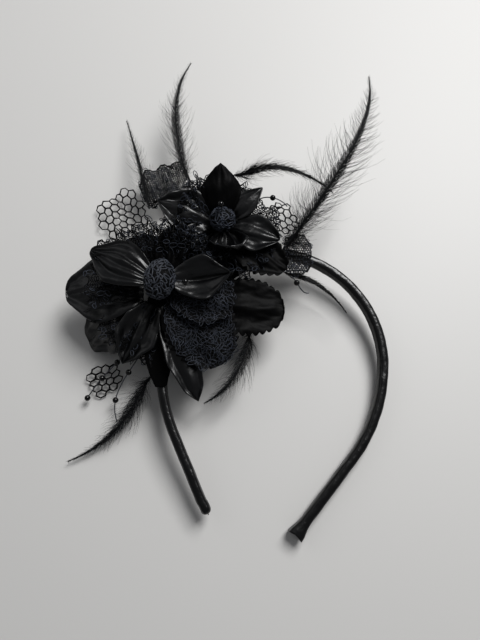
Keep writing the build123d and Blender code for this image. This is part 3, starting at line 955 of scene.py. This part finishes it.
def makeBarbTree():
    tree = bpy.data.node_groups.new("barbRows", "GeometryNodeTree")
    face = tree.interface
    face.new_socket("Geometry", in_out="INPUT", socket_type="NodeSocketGeometry")
    for name, value in (("Spacing", 0.2 * mm), ("Reach", 1.0), ("Sweep", 0.5), ("Spread", 0.1), ("Lift", 0.1),
                        ("Thick", 0.08 * mm), ("Bend", 0.15), ("Wave", 0.6 * mm), ("WaveSize", 200.0),
                        ("Shortest", 0.8), ("Quill", 0.3 * mm), ("Until", 1.0)):
        face.new_socket(name, in_out="INPUT", socket_type="NodeSocketFloat").default_value = value
    face.new_socket("Seed", in_out="INPUT", socket_type="NodeSocketInt").default_value = 1
    face.new_socket("Finish", in_out="INPUT", socket_type="NodeSocketMaterial")
    face.new_socket("Geometry", in_out="OUTPUT", socket_type="NodeSocketGeometry")
    given = addNode(tree, "NodeGroupInput").outputs

    line = addNode(tree, "GeometryNodeMeshToCurve", {}, {"Mesh": given["Geometry"]})
    spaced = addNode(tree, "GeometryNodeResampleCurve", {"mode": "LENGTH"},
                     {"Curve": line.outputs[0], "Length": given["Spacing"]})
    ahead = addNode(tree, "GeometryNodeInputTangent").outputs[0]
    sideways = addNode(tree, "GeometryNodeInputNamedAttribute",
                       {"data_type": "FLOAT_VECTOR", "Name": "sideways"}).outputs[0]
    reach = addNode(tree, "GeometryNodeInputNamedAttribute",
                    {"data_type": "FLOAT", "Name": "reach"}).outputs[0]
    done = addNode(tree, "GeometryNodeSplineParameter").outputs[0]
    near = addNode(tree, "FunctionNodeCompare", {"data_type": "FLOAT", "operation": "LESS_EQUAL"},
                   {0: done, 1: given["Until"]}).outputs[0]
    whole = addNode(tree, "GeometryNodeJoinGeometry")
    for side in (1, -1):
        lean = addNode(tree, "FunctionNodeRandomValue",
                       {"data_type": "FLOAT", 2: -1.0, 3: 1.0, "Seed": 3 + side})
        leaned = addNode(tree, "ShaderNodeMath", {"operation": "MULTIPLY_ADD"},
                         {0: lean.outputs[1], 1: given["Spread"], 2: given["Sweep"]}).outputs[0]
        out = addNode(tree, "ShaderNodeMath", {"operation": "SINE"}, {0: leaned}).outputs[0]
        on = addNode(tree, "ShaderNodeMath", {"operation": "COSINE"}, {0: leaned}).outputs[0]
        outSide = addNode(tree, "ShaderNodeMath", {"operation": "MULTIPLY", 1: float(side)},
                          {0: out}).outputs[0]
        partA = addNode(tree, "ShaderNodeVectorMath", {"operation": "SCALE"},
                        {0: sideways, "Scale": outSide}).outputs[0]
        partB = addNode(tree, "ShaderNodeVectorMath", {"operation": "SCALE"},
                        {0: ahead, "Scale": on}).outputs[0]
        flat = addNode(tree, "ShaderNodeVectorMath", {"operation": "ADD"}, {0: partA, 1: partB}).outputs[0]
        normal = addNode(tree, "ShaderNodeVectorMath", {"operation": "CROSS_PRODUCT"}, {0: ahead,
                1: sideways}).outputs[0]
        rising = addNode(tree, "FunctionNodeRandomValue",
                         {"data_type": "FLOAT", 2: -1.0, 3: 1.0, "Seed": 11 + side})
        risen = addNode(tree, "ShaderNodeMath", {"operation": "MULTIPLY"},
                        {0: rising.outputs[1], 1: given["Lift"]}).outputs[0]
        partC = addNode(tree, "ShaderNodeVectorMath", {"operation": "SCALE"},
                        {0: normal, "Scale": risen}).outputs[0]
        way = addNode(tree, "ShaderNodeVectorMath", {"operation": "ADD"}, {0: flat, 1: partC}).outputs[0]
        turned = addNode(tree, "FunctionNodeAxesToRotation", {"primary_axis": "X", "secondary_axis": "Z"},
                         {0: way, 1: normal})
        tallest = addNode(tree, "FunctionNodeRandomValue", {"data_type": "FLOAT", 3: 1.0, "Seed": 23 + side},
                          {2: given["Shortest"]})
        tall = addNode(tree, "ShaderNodeMath", {"operation": "MULTIPLY"},
                       {0: tallest.outputs[1], 1: reach}).outputs[0]
        taller = addNode(tree, "ShaderNodeMath", {"operation": "MULTIPLY"},
                         {0: tall, 1: given["Reach"]}).outputs[0]
        bent = addNode(tree, "ShaderNodeMath", {"operation": "MULTIPLY", 1: float(side)},
                       {0: given["Bend"]}).outputs[0]
        elbow = addNode(tree, "ShaderNodeCombineXYZ", {0: 0.55}, {1: bent}).outputs[0]
        barb = addNode(tree, "GeometryNodeCurveQuadraticBezier",
                       {"Resolution": 5, "Start": (0, 0, 0), "End": (1, 0, 0)}, {"Middle": elbow})
        placed = addNode(tree, "GeometryNodeInstanceOnPoints", {},
                         {"Points": spaced.outputs[0], "Selection": near, "Instance": barb.outputs[0],
                          "Rotation": turned.outputs[0], "Scale": taller})
        real = addNode(tree, "GeometryNodeRealizeInstances", {}, {0: placed.outputs[0]})
        curl = addNode(tree, "ShaderNodeTexNoise", {"Detail": 1.0}, {"Scale": given["WaveSize"]})
        centred = addNode(tree, "ShaderNodeVectorMath", {"operation": "SUBTRACT", 1: (0.5, 0.5, 0.5)},
                          {0: curl.outputs["Color"]}).outputs[0]
        far = addNode(tree, "ShaderNodeMath", {"operation": "POWER", 1: 1.6}, {0: done}).outputs[0]
        amount = addNode(tree, "ShaderNodeMath", {"operation": "MULTIPLY"},
                         {0: far, 1: given["Wave"]}).outputs[0]
        offset = addNode(tree, "ShaderNodeVectorMath", {"operation": "SCALE"},
                         {0: centred, "Scale": amount}).outputs[0]
        waved = addNode(tree, "GeometryNodeSetPosition", {}, {"Geometry": real.outputs[0], "Offset": offset})
        taper = addNode(tree, "ShaderNodeMath", {"operation": "MULTIPLY_ADD", 1: -0.7, 2: 1.0},
                        {0: done}).outputs[0]
        thin = addNode(tree, "ShaderNodeMath", {"operation": "MULTIPLY"},
                       {0: taper, 1: given["Thick"]}).outputs[0]
        tree.links.new(addTube(tree, waved.outputs[0], thin, 3), whole.inputs[0])
    # the quill tapers to the tip
    coarse = addNode(tree, "GeometryNodeResampleCurve", {"mode": "COUNT", "Count": 40},
                     {"Curve": line.outputs[0]})
    shrink = addNode(tree, "ShaderNodeMath", {"operation": "MULTIPLY_ADD", 1: -0.85, 2: 1.0},
                     {0: done}).outputs[0]
    stem = addNode(tree, "ShaderNodeMath", {"operation": "MULTIPLY"},
                   {0: shrink, 1: given["Quill"]}).outputs[0]
    tree.links.new(addTube(tree, coarse.outputs[0], stem, 6), whole.inputs[0])
    real = addNode(tree, "GeometryNodeRealizeInstances", {}, {0: whole.outputs[0]})
    soft = addNode(tree, "GeometryNodeSetShadeSmooth", {}, {0: real.outputs[0]})
    painted = addNode(tree, "GeometryNodeSetMaterial", {}, {0: soft.outputs[0], "Material": given["Finish"]})
    addNode(tree, "NodeGroupOutput", {}, {0: painted.outputs[0]})
    return tree


barbTree = makeBarbTree()


def sliceFeather(name):
    # centre, side direction and half width of a vane at even cuts from root to tip
    shape = mergedCopy(name)
    spots = np.array([v.co for v in shape.verts])
    middle = spots.mean(0)
    way = np.linalg.svd(spots - middle)[2][0]
    ends = [Vector(spots[int(k)]) for k in (((spots - middle) @ way).argmin(),
                                            ((spots - middle) @ way).argmax())]
    hearts = [(sum(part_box(c), Vector()) / 2) for c in ("calyx_a", "calyx_b")]
    ends.sort(key=lambda p: min((p - h).length for h in hearts))
    root, tip = ends
    heading = (tip - root).normalized()
    rows = []
    for k in range(quillSteps):
        share = 0.015 + 0.97 * k / (quillSteps - 1)
        probe = shape.copy()
        cut = bmesh.ops.bisect_plane(probe, geom=probe.verts[:] + probe.edges[:] + probe.faces[:], dist=1e-7,
                                     plane_co=root.lerp(tip, share), plane_no=heading)["geom_cut"]
        ring = [g.co.copy() for g in cut if isinstance(g, bmesh.types.BMVert)]
        probe.free()
        if len(ring) < 3:
            continue
        a = max(ring, key=lambda p: (p - ring[0]).length)
        b = max(ring, key=lambda p: (p - a).length)
        side = (b - a).normalized()
        if rows and side.dot(rows[-1][1]) < 0:
            side = -side
        rows.append(((a + b) / 2, side, (b - a).length / 2))
    shape.free()
    return rows


def joinPieces(name, parts):
    shape = bmesh.new()
    for part in parts:
        shape.from_mesh(part.data)
    shape.to_mesh(parts[0].data)
    shape.free()
    for face in parts[0].data.polygons:
        face.use_smooth = True
    for part in parts[1:]:
        bpy.data.objects.remove(part)
    parts[0].name = name
    parts[0].data.name = name
    return parts[0]


def barbRow(name, rows, values):
    piece = makeMesh(name, [r[0] for r in rows], [], barbHair, [(k, k + 1) for k in range(len(rows) - 1)])
    mesh = piece.data
    reach = mesh.attributes.new("reach", "FLOAT", "POINT")
    sideways = mesh.attributes.new("sideways", "FLOAT_VECTOR", "POINT")
    for k, row in enumerate(rows):
        reach.data[k].value = row[2]
        sideways.data[k].vector = row[1]
    growth = piece.modifiers.new("barbs", "NODES")
    growth.node_group = barbTree
    setInputs(growth, dict(values, Finish=barbHair))
    settle(piece)
    return piece


def makeFeather(name):
    look, rows = featherLook[name], sliceFeather(name)
    sweep = math.radians(look["sweep"])
    thick = look["thick"] * mm
    lean = 1 / math.sin(sweep)
    web = barbRow(name + "web", rows, {"Spacing": 0.16 * mm, "Reach": look["dense"] * lean * 0.8,
                                       "Sweep": sweep,
                                       "Spread": 0.10, "Lift": 0.10, "Thick": thick, "Bend": 0.10,
                                       "Wave": 0.5 * mm,
                                       "Shortest": 0.7, "Quill": 0.34 * mm})
    loose = barbRow(name + "loose", rows, {"Spacing": 0.62 * mm, "Reach": look["loose"] * lean * 0.82,
                                           "Sweep": sweep * 1.2, "Spread": 0.28, "Lift": 0.22,
                                           "Thick": thick * 0.85,
                                           "Bend": 0.18, "Wave": 2.0 * mm, "Shortest": 0.45,
                                           "Quill": 0.1 * mm})
    down = barbRow(name + "down", rows, {"Spacing": 0.30 * mm, "Reach": look["down"] * 1.3, "Sweep": 0.85,
                                         "Spread": 0.6, "Lift": 0.7, "Thick": thick * 0.55, "Bend": 0.3,
                                         "Wave": 5.0 * mm, "WaveSize": 260.0, "Shortest": 0.3,
                                         "Quill": 0.1 * mm,
                                         "Until": 0.22})
    piece = joinPieces(name.replace("_", ""), [web, loose, down])
    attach(piece, "crown")
    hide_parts(name)


for name in featherLook:
    makeFeather(name)
print("feathers grown")


# Hearts of the flowers: a gathered calyx, and a stuffed knot under loops of lace

heartLook = {"a": {"cell": 1.25, "loop": 0.95, "gap": 2.1}, "b": {"cell": 1.2, "loop": 0.8, "gap": 1.9}}


def makeHeart(letter):
    look = heartLook[letter]
    low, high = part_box("knot_" + letter)
    middle = (low + high) / 2
    shape = mergedCopy("knot_" + letter)
    tree = BVHTree.FromBMesh(shape)
    shape.free()
    points, faces = [], []
    rings, around = 26, 44
    for i in range(rings + 1):
        fall = math.pi * i / rings
        for j in range(around):
            turn = 2 * math.pi * j / around
            way = Vector((math.sin(fall) * math.cos(turn), math.sin(fall) * math.sin(turn), math.cos(fall)))
            hit = tree.ray_cast(middle, way)[0]
            reach = (hit - middle).length if hit is not None else 5 * mm
            tuck = 0.3 * mm * math.sin(7 * turn + 2 * fall) + 0.5 * mm * ripple(way * 10 * mm, 5 * mm, 3.0)
            points.append(middle + way * (reach - 0.3 * mm + tuck))
        if i:
            a, b = (i - 1) * around, i * around
            faces += [(a + j, a + (j + 1) % around, b + (j + 1) % around, b + j) for j in range(around)]
    ball = makeMesh("knot" + letter.upper(), points, faces, petalSatin)
    faceOutwards(ball)
    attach(ball, "crown")
    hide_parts("knot_" + letter)
    radius = (high - low).length / 2 / math.sqrt(3)

    def place(s, t):
        fall, turn = s / radius, t / radius
        way = Vector((math.sin(fall) * math.cos(turn), math.sin(fall) * math.sin(turn), math.cos(fall)))
        hit = tree.ray_cast(middle, way)[0]
        return middle + way * ((hit - middle).length + 0.45 * mm if hit is not None else 5 * mm)

    cover, coverFaces = lattice(lambda s, t: place(s + 0.4 * mm, t), math.pi * radius * 0.62,
                                2 * math.pi * radius, look["cell"] * mm)
    # knot A's raised cord takes the pale grey that paints its glints; knot B's takes the lace cord's painted glint
    lace = threadWork("knotLace" + letter.upper(), cover, coverFaces, laceThread, {
        "Thread": 0.16 * mm, "Border": 0.2 * mm, "Wander": 0.8 * mm, "WanderSize": 500.0,
        "MotifGap": look["gap"] * mm, "MotifSize": look["loop"] * mm, "MotifThread": 0.34 * mm,
        "Density": 400000.0, "Stretch": 2.6, "Points": 10,
        "CordFinish": glintKnotCord if letter == "a" else glintLaceCord})
    width, length = 2 * math.pi * radius, math.pi * radius * 0.62
    declareThreads(lace, length, 0.98)
    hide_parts("knot_" + letter + "_lace")

    low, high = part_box("calyx_" + letter)
    shape = mergedCopy("calyx_" + letter)
    tree = BVHTree.FromBMesh(shape)
    shape.free()
    middle = (low + high) / 2
    up = bandUp
    aside = up.orthogonal().normalized()
    other = up.cross(aside)
    half = (tree.ray_cast(middle, up)[0] - middle).length
    wide = (tree.ray_cast(middle, aside)[0] - middle).length
    points, faces = [], []
    levels, around = 22, 96
    for i in range(levels + 1):
        rise = 2 * i / levels - 1
        for j in range(around):
            turn = 2 * math.pi * j / around
            uneven = 0.04 * ripple((turn, rise, 0), 0.4, 2.0)
            pleat = 1 - 0.09 * (0.5 + 0.5 * math.cos(16 * turn + 1.5 * rise)) - uneven
            tuck = 1 - 0.35 * smooth(0.8, 1.0, abs(rise))
            way = aside * math.cos(turn) + other * math.sin(turn)
            points.append(middle + up * half * rise + way * wide * pleat * tuck)
        if i:
            a, b = (i - 1) * around, i * around
            faces += [(a + j, a + (j + 1) % around, b + (j + 1) % around, b + j) for j in range(around)]
    for ring, level in ((0, -1), (levels, 1)):
        points.append(middle + up * half * level)
        faces += [(ring * around + j, ring * around + (j + 1) % around,
                   len(points) - 1) for j in range(around)]
    core = makeMesh("calyx" + letter.upper(), points, faces, calycoCloth)
    faceOutwards(core)
    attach(core, "crown")
    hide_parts("calyx_" + letter)


for letter in heartLook:
    makeHeart(letter)
print("hearts tied")


# Felt base and lip

feltLook = {"voxel": 0.7 * mm, "uneven": 0.12 * mm, "baseShare": 0.42, "lipFlat": (0.0105, 0.0625),
            "lipShare": 0.5}


def makeFelt(name, node):
    shape = mergedCopy(node)
    mesh = bpy.data.meshes.new(name)
    shape.to_mesh(mesh)
    shape.free()
    piece = bpy.data.objects.new(name, mesh)
    bpy.context.scene.collection.objects.link(piece)
    knead = piece.modifiers.new("knead", "REMESH")
    knead.mode = "VOXEL"
    knead.voxel_size = feltLook["voxel"] if node == "felt_base" else feltLook["voxel"] * 0.6
    relax = piece.modifiers.new("relax", "SMOOTH")
    relax.iterations = 3
    settle(piece)
    places = [(v.co.copy(), v.normal.copy()) for v in piece.data.vertices]
    for vertex, (co, normal) in zip(piece.data.vertices, places):
        rise = ripple(co, 2.2 * mm, 1.0) + 0.4 * ripple(co, 0.9 * mm, 4.0)
        vertex.co = co + normal * feltLook["uneven"] * rise
    piece.data.materials.clear()
    piece.data.materials.append(woolFelt)
    for face in piece.data.polygons:
        face.use_smooth = True
    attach(piece, "crown")
    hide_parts(node)
    return piece


base = makeFelt("feltBase", "felt_base")
low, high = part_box("felt_base")
flat = (round(high.x - low.x, 4), round(high.y - low.y, 4))
lip = makeFelt("feltLip", "felt_lip")
flat = feltLook["lipFlat"]
print("felt laid")


# Wires and beads keep their CAD shapes

for name in frame["nodes"]:
    if name.endswith("_wire"):
        setFinish(name, drawnNylon)
    if name.endswith("_beads"):
        setFinish(name, glassBead)
print("beads threaded")
